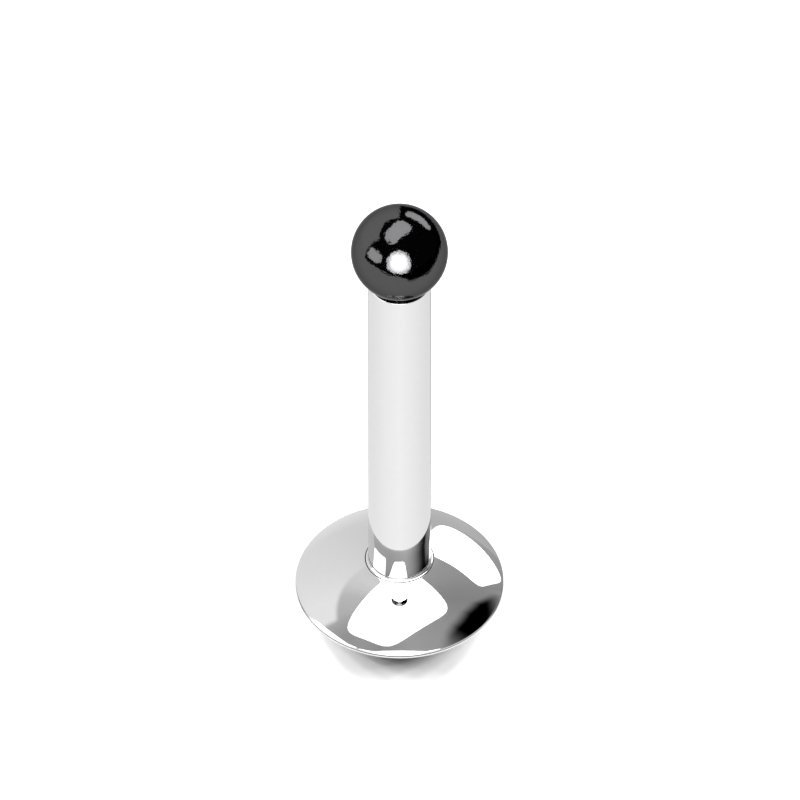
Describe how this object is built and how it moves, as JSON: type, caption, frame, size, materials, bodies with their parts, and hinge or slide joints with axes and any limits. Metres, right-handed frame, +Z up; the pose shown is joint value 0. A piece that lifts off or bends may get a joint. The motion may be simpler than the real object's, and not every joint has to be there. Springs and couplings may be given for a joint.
{
  "type": "labret stud",
  "caption": "Flat-backed labret stud: a domed steel disc, a straight steel post threaded inside, and a black ball screwed into its end.",
  "frame": {"origin": "middle of the flat land under the disc, on the surface that the stud stands on", "axes": "+Z up along the post's axis, from the disc to the ball"},
  "size_m": [0.004, 0.004, 0.0101],
  "materials": {
    "polished_steel": "mirror-polished surgical steel",
    "black_coat": "glossy black vapour coating on polished steel"
  },
  "bodies": {
    "base": {"base_disc": "polished_steel", "post": "polished_steel"},
    "ball": {"ball": "black_coat"},
    "pin": {"threaded_pin": "black_coat"}
  },
  "joints": [
    {"name": "ball_travel", "type": "slide", "parent": "base", "child": "ball", "axis": [0, 0, 1], "range_m": [0, 0.009]},
    {"name": "pin_turn", "type": "hinge", "parent": "ball", "child": "pin", "pos_m": [0, 0, 0.0078], "axis": [0, 0, 1], "continuous": true}
  ],
  "couplings": [
    {"joint": "pin_turn", "follows": "ball_travel", "rad_per_m": 24166}
  ]
}
